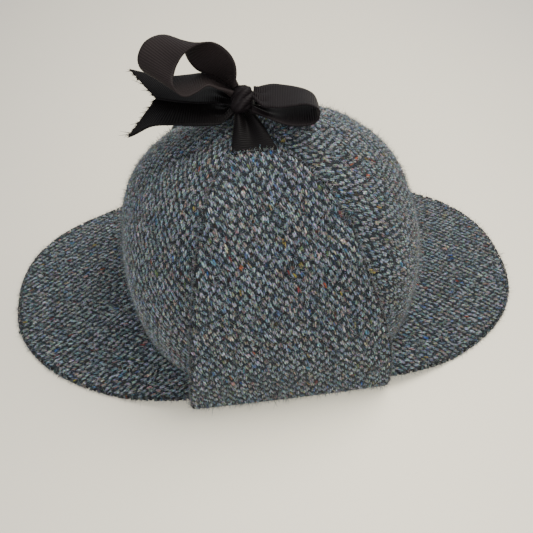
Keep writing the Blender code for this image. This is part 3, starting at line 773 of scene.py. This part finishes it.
def yarn_floats(cloth, kind, odd):
    """Floats of yarn in a staggered weave: every second place of a lattice on the cloth."""
    low_u, high_u, low_v, high_v = cloth.span()
    spacing_u, spacing_v = cloth.spacing
    reach = math.hypot(high_u - low_u, high_v - low_v) / 2.0
    steps = math.ceil(reach / min(cloth.spacing))
    i, j = (x.ravel() for x in np.meshgrid(*[np.arange(-steps, steps + 1)] * 2, indexing="ij"))
    keep = (i + j) % 2 == odd
    i, j = i[keep], j[keep]
    jitter = RANDOM.normal(0.0, FLOAT_SHIFT, (2, len(i)))
    s = (i + jitter[0]) * spacing_u
    t = (j + jitter[1]) * spacing_v
    turned = cloth.grain
    u = s * math.cos(turned) + t * math.sin(turned) + (low_u + high_u) / 2.0
    v = t * math.cos(turned) - s * math.sin(turned) + (low_v + high_v) / 2.0
    keep = (u > low_u) & (u < high_u) & (v > low_v) & (v < high_v)
    u, v = u[keep], v[keep]
    keep = cloth.margin(u, v) > FLOAT_MARGIN
    u, v = u[keep], v[keep]
    leans = cloth.grain + cloth.lean + RANDOM.normal(0.0, FLOAT_TILT, len(u))
    yarns = yarn_colours(kind["yarns"], len(u))
    beside = np.repeat(kind["plies"], len(u)) * spacing_u * 0.5
    ahead = RANDOM.normal(0.0, FLOAT_SHIFT, len(beside)) * spacing_v
    u, v, leans = (np.tile(x, len(kind["plies"])) for x in (u, v, leans))
    yarns = np.tile(yarns, (len(kind["plies"]), 1))
    u = u + beside * np.cos(leans) + ahead * np.sin(leans)
    v = v - beside * np.sin(leans) + ahead * np.cos(leans)
    count = len(u)
    columns, rows = len(kind["across"]), len(kind["along"])
    angle = (leans + RANDOM.normal(0.0, PLY_TILT, count))[:, None, None]
    half_width = spacing_u * kind["width"] * RANDOM.uniform(*WIDTH_RANGE, count)[:, None, None]
    half_length = spacing_v * kind["length"] * RANDOM.uniform(*LENGTH_RANGE, count)[:, None, None]
    taper = np.array(kind["taper"])[None, :, None]
    across = np.array(kind["across"])[None, None, :] * taper * half_width
    along = np.array(kind["along"])[None, :, None] * half_length * np.ones((1, 1, columns))
    across = across + RANDOM.normal(0.0, CORNER_SHIFT[0], across.shape)
    along = along + RANDOM.normal(0.0, CORNER_SHIFT[1], along.shape)
    uu = u[:, None, None] + across * np.cos(angle) + along * np.sin(angle)
    vv = v[:, None, None] - across * np.sin(angle) + along * np.cos(angle)
    height = kind["height"] * RANDOM.uniform(*HEIGHT_RANGE, count)[:, None, None]
    rises = np.array(kind["rise"])[None, :, None]
    rise = np.where(rises < 0.0, rises, height * np.array(kind["profile"])[None, None, :])
    rise = rise - GROUND_DEPTH + FLOAT_LIFT
    _, normal = frame_of(cloth, u, v)
    lift = (rise - edge_drop(cloth, uu, vv))[..., None]
    spots = cloth.outer(uu, vv) + normal[:, None, None, :] * lift
    quads = copies(grid_quads(rows, columns, 0, cloth.facing < 0.0), rows * columns, count)
    shades = [yarns]
    for _ in range(2):
        other = RANDOM.random((count, 1)) < RECOLOURED_PLIES
        shades.append(np.where(other, yarn_colours(kind["yarns"], count), shades[-1]))
    _, first, second = shades
    mix = np.linspace(0.0, 1.0, columns)[None, None, :, None]
    colours = first[:, None, None] * (1.0 - mix) + second[:, None, None] * mix
    # Painted shade: each float darkens towards its sides, down to 0.3 of its colour, and to half at its
    # tucked ends; cloth.shade adds the painted shade of the peaks and the painted shadow of the turned edges
    depth = np.clip(np.array(kind["profile"]), 0.30, 1.0)[None, None, :, None]
    painted_end_shade = np.where(rises < 0.0, 0.5, 1.0)[..., None]
    colours = np.broadcast_to(colours * depth * painted_end_shade * cloth.shade * kind["dye"], spots.shape)
    keep_above(spots, FLOAT_LOWEST)
    uv = np.stack((uu, vv), -1).reshape(-1, 2)
    return spots.reshape(-1, 3), quads, colours.reshape(-1, 3), uv


def fuzz(cloth, per_square_cm):
    """Loose wool fibres that lie on the face or stand off it, each a thin bent strip."""
    low_u, high_u, low_v, high_v = cloth.span()
    count = int((high_u - low_u) * (high_v - low_v) / 100.0 * per_square_cm)
    u = RANDOM.uniform(low_u, high_u, count)
    v = RANDOM.uniform(low_v, high_v, count)
    keep = cloth.margin(u, v) > 0.1
    u, v = u[keep], v[keep]
    count = len(u)
    spots, normal = frame_of(cloth, u, v)
    spots = spots - normal * (edge_drop(cloth, u, v) + 0.05)[:, None]
    lie = RANDOM.normal(size=(count, 3))
    lie = unit(lie - normal * (lie * normal).sum(1)[:, None])
    long = RANDOM.random(count) < LONG_FIBRES
    length = RANDOM.uniform(*FIBRE_LENGTH, count)
    length = length + np.where(long, RANDOM.uniform(*LONG_FIBRE_EXTRA, count), 0.0)
    standing = RANDOM.random(count) < STANDING_FIBRES
    steep = RANDOM.uniform(*STANDING_RISE, count)
    rise = np.where(standing, steep, RANDOM.beta(1.2, 2.2, count) * 0.7)
    bend = RANDOM.normal(size=(count, 3)) * 0.35
    shares = np.array((0.0, 0.5, 1.0))
    reach = (length[:, None] * shares)[..., None]
    path = spots[:, None] + reach * (lie[:, None] * 0.75 + normal[:, None] * rise[:, None, None])
    path = path + reach * shares[None, :, None] * (bend - normal * 0.15)[:, None]
    side = unit(np.cross(lie, normal) + normal * RANDOM.uniform(-0.7, 0.7, (count, 1)))
    width = FIBRE_HALF_WIDTH * np.array((1.0, 0.8, 0.25))[None, :, None]
    width = width * np.where(long, 0.7, 1.0)[:, None, None]
    spots = np.stack((path - side[:, None] * width, path + side[:, None] * width), 2)
    keep_above(spots, FIBRE_LOWEST)
    rows, columns = len(shares), 2
    quads = copies(grid_quads(rows, columns), rows * columns, count)
    colours = yarn_colours(FACE_YARNS, count) * RANDOM.uniform(*FIBRE_SHADES, (count, 1))
    colours = np.repeat(colours, rows * columns, 0)
    uv = np.repeat(np.stack((u, v), -1), rows * columns, 0)
    return spots.reshape(-1, 3), quads, colours, uv


def tweed_piece(name, cloth, node):
    """One tweed cloth with its weave and fuzz, in place of its solid."""
    spots, quads, slots, uv = base_cloth(cloth)
    colours = np.zeros((len(spots), 3))
    parts = [(spots, quads, slots, colours, uv)]
    faces = [cloth] if isinstance(cloth, CrownPanel) else [cloth, TurnedEdge(cloth)]
    kinds = (LIGHT_FLOAT, DARK_FLOAT)
    woven = [yarn_floats(f, kind, odd) for f in faces for odd, kind in enumerate(kinds)]
    hairy = FIBRES_PER_SQUARE_CM * (FLAP_HAIRINESS if isinstance(cloth, EarFlap) else 1.0)
    woven += [fuzz(f, hairy) for f in faces]
    first = len(spots)
    for places, faces_of, shades, where in woven:
        parts.append((places, faces_of + first, np.full(len(faces_of), 2), shades, where))
        first += len(places)
    spots, quads, slots, colours, uv = (np.concatenate(x) for x in zip(*parts))
    piece = new_piece(name, spots, quads, (TWEED_GROUND, TWEED_INSIDE, WOOL_YARN), slots, colours, uv)
    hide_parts(node)
    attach(piece, "root")


# Materials

def connect(tree, node, **values):
    """Set a node's inputs, by name or as i and a number, and link what is given as a socket."""
    for key, value in values.items():
        numbered = key[0] == "i" and key[1:].isdigit()
        socket = node.inputs[int(key[1:]) if numbered else key.replace("_", " ")]
        if isinstance(value, bpy.types.NodeSocket):
            tree.links.new(value, socket)
        else:
            socket.default_value = value


def add(tree, kind, settings=None, **values):
    """Add one node, set its settings and connect its inputs."""
    node = tree.nodes.new(kind)
    for key, value in (settings or {}).items():
        setattr(node, key, value)
    connect(tree, node, **values)
    return node


def new_material(name):
    """An empty node material and its tree and shader."""
    material = bpy.data.materials.new(name)
    material.use_nodes = True
    return material, material.node_tree, material.node_tree.nodes["Principled BSDF"]


def woollen_yarn():
    """Carded and spun Shetland-type wool: quite matt, hairy, with a dusty sheen at glancing light."""
    material, tree, shader = new_material("woollen_spun_yarn")
    colour = add(tree, "ShaderNodeVertexColor", {"layer_name": "yarn_colour"})
    place = add(tree, "ShaderNodeTexCoord")
    # Dyed fibres are 0.03 mm thick and would not show, so their mix is drawn 0.7 mm coarse
    dyed = add(tree, "ShaderNodeTexVoronoi", None, Vector=place.outputs["Object"], Scale=1500.0)
    tint = add(tree, "ShaderNodeVectorMath", {"operation": "MULTIPLY_ADD"},
               i0=dyed.outputs["Color"], i1=(0.7, 0.7, 0.7), i2=(0.65, 0.65, 0.65))
    marl = add(tree, "ShaderNodeVectorMath", {"operation": "MULTIPLY"},
               i0=colour.outputs["Color"], i1=tint.outputs["Vector"])
    # Strands of lighter and darker fibre that run along each yarn
    laid = add(tree, "ShaderNodeUVMap", {"uv_map": "cloth_mm"})
    drawn_out = add(tree, "ShaderNodeMapping", None, Vector=laid.outputs["UV"], Scale=(1.7, 0.5, 1.0))
    strands = add(tree, "ShaderNodeTexNoise", None, Vector=drawn_out.outputs["Vector"], Scale=1.0, Detail=2.0)
    shade = add(tree, "ShaderNodeMapRange", None, Value=strands.outputs["Fac"], From_Min=0.32, From_Max=0.68,
                To_Min=0.2, To_Max=1.95)
    streaked = add(tree, "ShaderNodeVectorMath", {"operation": "SCALE"},
                   i0=marl.outputs["Vector"], Scale=shade.outputs["Result"])
    fibres = add(tree, "ShaderNodeTexNoise", None, Vector=place.outputs["Object"], Scale=2500.0, Detail=2.0)
    bump = add(tree, "ShaderNodeBump", None, Strength=0.6, Distance=0.0003, Height=fibres.outputs["Fac"])
    connect(tree, shader, Base_Color=streaked.outputs["Vector"], Normal=bump.outputs["Normal"],
            Roughness=0.92, Sheen_Weight=0.1, Sheen_Roughness=0.5, Specular_IOR_Level=0.25)
    return material


def tweed_ground():
    """The felted dark warp and weft between the floats: near black, with no gloss."""
    material, tree, shader = new_material("tweed_felted_ground")
    place = add(tree, "ShaderNodeTexCoord")
    fibres = add(tree, "ShaderNodeTexNoise", None, Vector=place.outputs["Object"], Scale=900.0, Detail=3.0)
    ramp = add(tree, "ShaderNodeMix", {"data_type": "RGBA"}, Factor=fibres.outputs["Fac"],
               i6=(*linear("050607"), 1.0), i7=(*linear("32373c"), 1.0))
    connect(tree, shader, Base_Color=ramp.outputs[2], Roughness=0.95, Specular_IOR_Level=0.15)
    return material


def tweed_inside():
    """The wrong side of the tweed: the same staggered weave, seen only as pattern and bump."""
    material, tree, shader = new_material("tweed_wrong_side")
    place = add(tree, "ShaderNodeUVMap", {"uv_map": "cloth_mm"})
    weave = add(tree, "ShaderNodeTexBrick", {"offset": 0.5, "offset_frequency": 2},
                Vector=place.outputs["UV"], Scale=1.0, Mortar_Size=0.35, Mortar_Smooth=0.8,
                Brick_Width=2.0 * FLOAT_SPACING[0], Row_Height=FLOAT_SPACING[1],
                Color1=(*linear("6f7b85"), 1.0), Color2=(*linear("454e56"), 1.0),
                Mortar=(*linear("14171b"), 1.0))
    bump = add(tree, "ShaderNodeBump", {"invert": True}, Strength=0.8, Distance=0.0005,
               Height=weave.outputs["Fac"])
    connect(tree, shader, Base_Color=weave.outputs["Color"], Normal=bump.outputs["Normal"], Roughness=0.92)
    return material


def grosgrain(name, thread, worn):
    """Rayon grosgrain, woven over thick weft ribs: near-black brown, a faint silky gloss on the ribs."""
    material, tree, shader = new_material(name)
    place = add(tree, "ShaderNodeUVMap", {"uv_map": "cloth_mm"})
    stretch = add(tree, "ShaderNodeMapping", None, Vector=place.outputs["UV"], Scale=(0.5, 5.0, 1.0))
    threads = add(tree, "ShaderNodeTexNoise", None, Vector=stretch.outputs["Vector"], Scale=1.4, Detail=2.0)
    tone = add(tree, "ShaderNodeMix", {"data_type": "RGBA"}, Factor=threads.outputs["Fac"],
               i6=(*linear(thread), 1.0), i7=(*linear(worn), 1.0))
    bump = add(tree, "ShaderNodeBump", None, Strength=0.25, Distance=0.0001, Height=threads.outputs["Fac"])
    connect(tree, shader, Base_Color=tone.outputs[2], Normal=bump.outputs["Normal"], Roughness=0.5,
            Specular_IOR_Level=0.07, Sheen_Weight=0.01, Sheen_Roughness=0.4)
    return material


WOOL_YARN = woollen_yarn()
TWEED_GROUND = tweed_ground()
TWEED_INSIDE = tweed_inside()
# One ribbon in three tones, lit and shaded copies of it matched to how light each piece looks: painted
# light makes the left loop lightest and the right loop and knot less light, the tails and leads
# darkest. One ribbon in three tones, matched to how light each piece looks in the photograph; that dust
# and fading are the cause is a guess, and it may be the light
GROSGRAIN = grosgrain("rayon_grosgrain", "060505", "0e0b0c")
HALF_LIT_GROSGRAIN = grosgrain("rayon_grosgrain_painted_half_lit", "0e0b0c", "1b1617")
LIT_GROSGRAIN = grosgrain("rayon_grosgrain_painted_lit", "1c1717", "2b2524")


# Ribbon

def knot_middle():
    """The middle of the knot, over the crown."""
    return np.array((-KNOT_LEFT, KNOT_BACK, RIM_HEIGHT + CROWN_HEIGHT + KNOT_RISE))


def bow_axes():
    """Right, up and towards, as the bow's near side faces."""
    turn, lean = math.radians(BOW_TURN), math.radians(BOW_LEAN)
    right = np.array((math.cos(turn), -math.sin(turn), 0.0))
    towards = np.array((
        -math.sin(turn) * math.cos(lean),
        -math.cos(turn) * math.cos(lean),
        math.sin(lean),
    ))
    return np.stack((right, np.cross(towards, right), towards))


def knot_surface(turn, climb, clearance=0.0):
    """Places on the knot or clear of it: turn round it from the right, climb to its top."""
    out = np.cos(climb) ** KNOT_ROUNDNESS
    local = np.stack((
        np.cos(turn) * out * KNOT_WIDTH / 2.0,
        np.sin(climb) * KNOT_HEIGHT / 2.0,
        np.sin(turn) * out * KNOT_DEPTH / 2.0,
    ), -1)
    local *= 1.0 + np.asarray(clearance)[..., None] / np.linalg.norm(local, axis=-1, keepdims=True)
    return knot_middle() + local @ bow_axes()


def spline(values, shares):
    """Catmull-Rom curve through evenly shared rows, read at many shares."""
    values = np.asarray(values, float)
    values = values.reshape(len(values), -1)
    padded = np.concatenate((2 * values[:1] - values[1:2], values, 2 * values[-1:] - values[-2:-1]))
    place = np.asarray(shares) * (len(values) - 1)
    index = np.minimum(place.astype(int), len(values) - 2)
    t = (place - index)[:, None]
    a, b, c, d = (padded[index + k] for k in range(4))
    return 0.5 * (2 * b + (c - a) * t + (2 * a - 5 * b + 4 * c - d) * t ** 2 + (3 * (b - c) + d - a) * t ** 3)


def ribbon_middle(table, slant, shares, lies):
    """Places on the ribbon's middle face: shares along it and lies across it."""
    axes = bow_axes()
    middles = []
    for row in table:
        if "seat" in row:
            turn, climb = (math.radians(angle) for angle in row["seat"])
            middles.append(knot_surface(turn, climb, SEAT_GAP))
        else:
            middles.append(knot_middle() + np.array(row["at"]) @ axes * RIBBON_WIDTH)
    acrosses = [unit(np.array(row["across"])) @ axes for row in table]
    middle = spline(middles, shares)
    across = unit(spline(acrosses, shares))
    full = spline([row.get("full", 1.0) for row in table], shares)
    ahead = unit(np.gradient(middle, axis=0))
    cut = slant * np.maximum(shares - TAIL_CUT_FROM, 0.0) / (1.0 - TAIL_CUT_FROM)
    longer = ahead[:, None] * (RIBBON_WIDTH * cut[:, None] * lies[None])[..., None]
    wide = across[:, None] * (RIBBON_WIDTH * full)[:, :, None]
    spots = middle[:, None] + wide * lies[None, :, None] + longer
    normal = np.cross(across, ahead)
    pleat = PLEAT_DEPTH * np.clip(1.0 - full, 0.0, 1.0) * np.cos(2.0 * math.pi * PLEATS * lies)[None]
    return spots + normal[:, None] * pleat[..., None]


def ribbon_piece(name, spots, node, material):
    """A ribbon with ribs across it and a thin selvedge, from a fine grid of its middle face."""
    rows, columns = spots.shape[:2]
    ahead = np.gradient(spots, axis=0)
    over = np.gradient(spots, axis=1)
    normal = unit(np.cross(over, ahead))
    run = run_along(spots[:, columns // 2])
    rib = RIB_DEPTH * np.cos(2.0 * math.pi * run / RIB_PITCH)[:, None]
    rib = rib * np.ones((1, columns))
    rib[:, (0, -1)] *= 0.3
    half = RIBBON_CLOTH / 2.0
    outer = spots + normal * (half + rib)[..., None]
    inner = spots - normal * (half + rib)[..., None]
    quads = [grid_quads(rows, columns, 0, True), grid_quads(rows, columns, rows * columns)]
    quads.append(rim_quads(rows, columns)[:, ::-1])
    quads = np.concatenate(quads)
    across = (np.arange(columns) / (columns - 1) - 0.5) * RIBBON_WIDTH
    uv = np.stack(np.broadcast_arrays(run[:, None], across[None]), -1).reshape(-1, 2)
    spots = np.concatenate((outer.reshape(-1, 3), inner.reshape(-1, 3)))
    piece = new_piece(name, spots, quads, (material,), np.zeros(len(quads)), None, np.tile(uv, (2, 1)))
    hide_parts(node)
    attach(piece, "root")


def bow_ribbon(name, node, table, length, material, slant=0.0):
    """A loop or tail of the bow. Its rough length sets how finely its ribs are drawn."""
    shares = np.linspace(0.0, 1.0, int(length / RIB_PITCH * PLACES_PER_RIB))
    spots = ribbon_middle(table, slant, shares, np.linspace(-0.5, 0.5, PLACES_ACROSS))
    ribbon_piece(name, spots, node, material)
    return spots


def knot_side(right, up, towards):
    """A place just clear of the knot, on the side named by shares of its half sizes."""
    halves = np.array((KNOT_WIDTH, KNOT_HEIGHT, KNOT_DEPTH)) / 2.0
    return knot_middle() + (halves + PIECE_GAP) * np.array((right, up, towards)) @ bow_axes()


def ribbon_lead(name, node, flap, end):
    """The ribbon from an ear flap's top edge to the knot, gathered into folds on the way."""
    left, right = flap.edges(np.array(flap.length))
    top = flap.middle(np.array((left, right, (left + right) / 2.0)), np.full(3, flap.length))
    below = flap.middle(np.array((left + right) / 2.0), np.array(flap.length - 1.0))
    upward = top[2] - below
    start = top[2] - unit(upward) * LEAD_TUCK
    across = unit(top[1] - top[0])
    over = unit(np.cross(end - start, across))
    over *= np.sign(over[2])
    share = np.linspace(0.0, 1.0, 90)[:, None, None]
    lies = np.linspace(-0.5, 0.5, 41)[None, :, None]
    width = RIBBON_WIDTH * (1.0 - LEAD_GATHER * share)
    arch = LEAD_ARCH * np.sin(math.pi * share)
    wave = -LEAD_FOLD * share * np.cos(2.0 * math.pi * LEAD_FOLDS * lies)
    spots = start + (end - start) * share + across * width * lies + over * (arch + wave)
    ribbon_piece(name, spots, node, GROSGRAIN)


def bow_knot():
    """The knot: the ribbon wrapped tight round the bow's middle, in slanting pleats."""
    rows, columns = 60, 96
    climb = (np.linspace(-0.5, 0.5, rows) * math.pi * 0.985)[:, None]
    turn = np.linspace(0.0, 2.0 * math.pi, columns, endpoint=False)[None]
    climb, turn = np.broadcast_arrays(climb, turn)
    slanted = turn + KNOT_SLANT * climb
    pleat = np.abs(np.sin(KNOT_PLEATS * slanted)) ** 0.6 - 0.5
    ribs = KNOT_RIB_DEPTH * np.cos(2.0 * math.pi * climb * KNOT_HEIGHT / 2.0 / RIB_PITCH)
    round_by = (np.cos(turn - KNOT_LUMP_AT[0]) - 1.0) / KNOT_LUMP_SPREAD[0]
    up_by = (climb - KNOT_LUMP_AT[1]) / KNOT_LUMP_SPREAD[1]
    lump = KNOT_LUMP * np.exp(-round_by ** 2 - up_by ** 2)
    spots = knot_surface(turn, climb, pleat * KNOT_PLEAT_DEPTH * np.cos(climb) + lump + ribs)
    spots = spots.reshape(-1, 3)
    r, c = np.meshgrid(np.arange(rows - 1), np.arange(columns), indexing="ij")
    a = (r * columns + c).ravel()
    b = (r * columns + (c + 1) % columns).ravel()
    quads = np.stack((a, b, b + columns, a + columns), -1)
    uv = np.stack((climb.ravel() * KNOT_HEIGHT / 2.0, turn.ravel() * KNOT_WIDTH / 2.0), -1)
    # The knot wears a copy of the ribbon with painted light
    piece = new_piece("bow_knot_wrap", spots, quads, (HALF_LIT_GROSGRAIN,), np.zeros(len(quads)), None, uv)
    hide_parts("bow_knot")
    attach(piece, "root")


def frayed_end(name, spots, longest):
    """Loose warp threads standing out of a tail's cut end, in uneven tufts."""
    end = spots[-1]
    ahead = unit(spots[-1] - spots[-3])
    place = RANDOM.random(THREADS) * (len(end) - 1)
    index = np.minimum(place.astype(int), len(end) - 2)
    share = (place - index)[:, None]
    start = end[index] * (1 - share) + end[index + 1] * share
    way = ahead[index]
    tuft = 0.25 + 0.75 * np.sin(place * 1.9) ** 4
    length = RANDOM.uniform(THREAD_SHORTEST, longest, THREADS) * tuft
    spread = RANDOM.normal(size=(THREADS, 3)) * THREAD_SPREAD
    steps = np.linspace(0.0, 1.0, 5)
    reach = (length[:, None] * steps)[..., None]
    bent = way[:, None] + spread[:, None] * steps[None, :, None]
    path = start[:, None] - way[:, None] * THREAD_HIDDEN + reach * bent
    side = unit(np.cross(way, RANDOM.normal(size=(THREADS, 3))))
    depth = np.cross(way, side)
    thick = THREAD_RADIUS * np.array((1.0, 1.0, 0.9, 0.7, 0.35))[None, :, None]
    # A thread is three-sided
    turns = (0.0, 2.1, 4.2)
    ring = [path + thick * (side * math.cos(a) + depth * math.sin(a))[:, None] for a in turns]
    threads = np.stack(ring, 2).reshape(-1, 3)
    sides = len(turns)
    faces = []
    for row in range(len(steps) - 1):
        for k in range(sides):
            a, b = row * sides + k, row * sides + (k + 1) % sides
            faces.append((a, b, b + sides, a + sides))
    quads = copies(np.array(faces), len(steps) * sides, THREADS)
    uv = np.zeros((len(threads), 2))
    piece = new_piece(name, threads, quads, (GROSGRAIN,), np.zeros(len(quads)), None, uv)
    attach(piece, "root")


# Camera, light and floor

def camera():
    """The camera at the photograph's angle to the hat."""
    data = bpy.data.cameras.new("camera")
    data.lens = CAMERA_LENS
    data.sensor_width = 36.0
    data.clip_start = 0.01
    eye = new_object("camera", data)
    eye.rotation_mode = "QUATERNION"
    roll = Quaternion((0.0, 0.0, 1.0), math.radians(CAMERA_ROLL))
    way = Vector(CAMERA_WAY).normalized()
    eye.rotation_quaternion = (-way).to_track_quat("-Z", "Y") @ roll
    eye.location = (Vector(CAMERA_AIM) + way * CAMERA_DISTANCE) * MM
    bpy.context.scene.camera = eye


def area_light(name, place, aim, size, power, colour):
    """A soft round light."""
    data = bpy.data.lights.new(name, "AREA")
    data.shape = "DISK"
    data.size = size
    data.energy = power
    data.color = colour
    light = new_object(name, data)
    light.location = place
    light.rotation_mode = "QUATERNION"
    light.rotation_quaternion = (Vector(aim) - Vector(place)).to_track_quat("-Z", "Y")


def studio():
    """A pale floor with a painted pool of light, greyer away from the hat, and soft light from above right
    and from the front.
    """
    mesh = bpy.data.meshes.new("floor")
    mesh.from_pydata([(-6, -6, 0), (6, -6, 0), (6, 6, 0), (-6, 6, 0)], [], [(0, 1, 2, 3)])
    floor = new_object("floor", mesh)
    material, tree, shader = new_material("matt_floor_with_painted_light_pool")
    # Painted light: the floor's colour is a pool of light, pale near the hat and greyer away from it
    place = add(tree, "ShaderNodeTexCoord")
    spread = add(tree, "ShaderNodeMapping", None, Vector=place.outputs["Object"],
                 Location=(-0.08, 0.06, 0.0), Scale=(1.9, 1.0, 0.0))
    pool = add(tree, "ShaderNodeTexGradient", {"gradient_type": "SPHERICAL"}, Vector=spread.outputs["Vector"])
    shade = add(tree, "ShaderNodeMix", {"data_type": "RGBA"}, Factor=pool.outputs["Fac"],
                i6=(*linear("969594"), 1.0), i7=(*linear("fff6dd"), 1.0))
    connect(tree, shader, Base_Color=shade.outputs[2], Roughness=0.7)
    mesh.materials.append(material)
    world = bpy.data.worlds.new("studio")
    world.use_nodes = True
    connect(world.node_tree, world.node_tree.nodes["Background"],
            Color=(*linear("eceef0"), 1.0), Strength=1.0)
    bpy.context.scene.world = world
    area_light("overhead", place=(0.47, 0.30, 1.1), aim=(0.0, 0.0, 0.05), size=0.9, power=17.5,
               colour=linear("fffaf2"))
    area_light("front_fill", place=(-0.3, -1.2, 0.9), aim=(0.0, -0.12, 0.0), size=0.9, power=15.5,
               colour=linear("f5f6f8"))


camera()
studio()

for index in range(PANELS):
    tweed_piece(f"crown_gore_{index + 1}", CrownPanel(index), f"crown_panel_{index + 1}")
for row in PEAKS:
    tweed_piece(row["name"] + "_tweed", Peak(row), row["name"])
near_flap = EarFlap(-1.0, 0.0)
far_flap = EarFlap(1.0, FAR_FLAP_SHORTER)
tweed_piece("near_flap_tweed", near_flap, "near_ear_flap")
tweed_piece("far_flap_tweed", far_flap, "far_ear_flap")

# The loops wear the ribbon's copies with painted light, the tails the darkest
bow_ribbon("left_loop_ribbon", "bow_left_loop", LEFT_LOOP, 112.0, LIT_GROSGRAIN)
bow_ribbon("right_loop_ribbon", "bow_right_loop", RIGHT_LOOP, 78.0, HALF_LIT_GROSGRAIN)
lower = bow_ribbon("lower_tail_ribbon", "bow_lower_tail", LOWER_TAIL, 56.0, GROSGRAIN,
                   LOWER_TAIL_SLANT)
upper = bow_ribbon("upper_tail_ribbon", "bow_upper_tail", UPPER_TAIL, 58.0, GROSGRAIN,
                   UPPER_TAIL_SLANT)
frayed_end("lower_tail_fraying", lower, 4.6)
frayed_end("upper_tail_fraying", upper, 3.8)
ribbon_lead("near_lead_ribbon", "near_ribbon_lead", near_flap,
            knot_side(right=0.15, up=-1.0, towards=0.2))
ribbon_lead("far_lead_ribbon", "far_ribbon_lead", far_flap,
            knot_side(right=0.0, up=-0.3, towards=-0.98))
bow_knot()
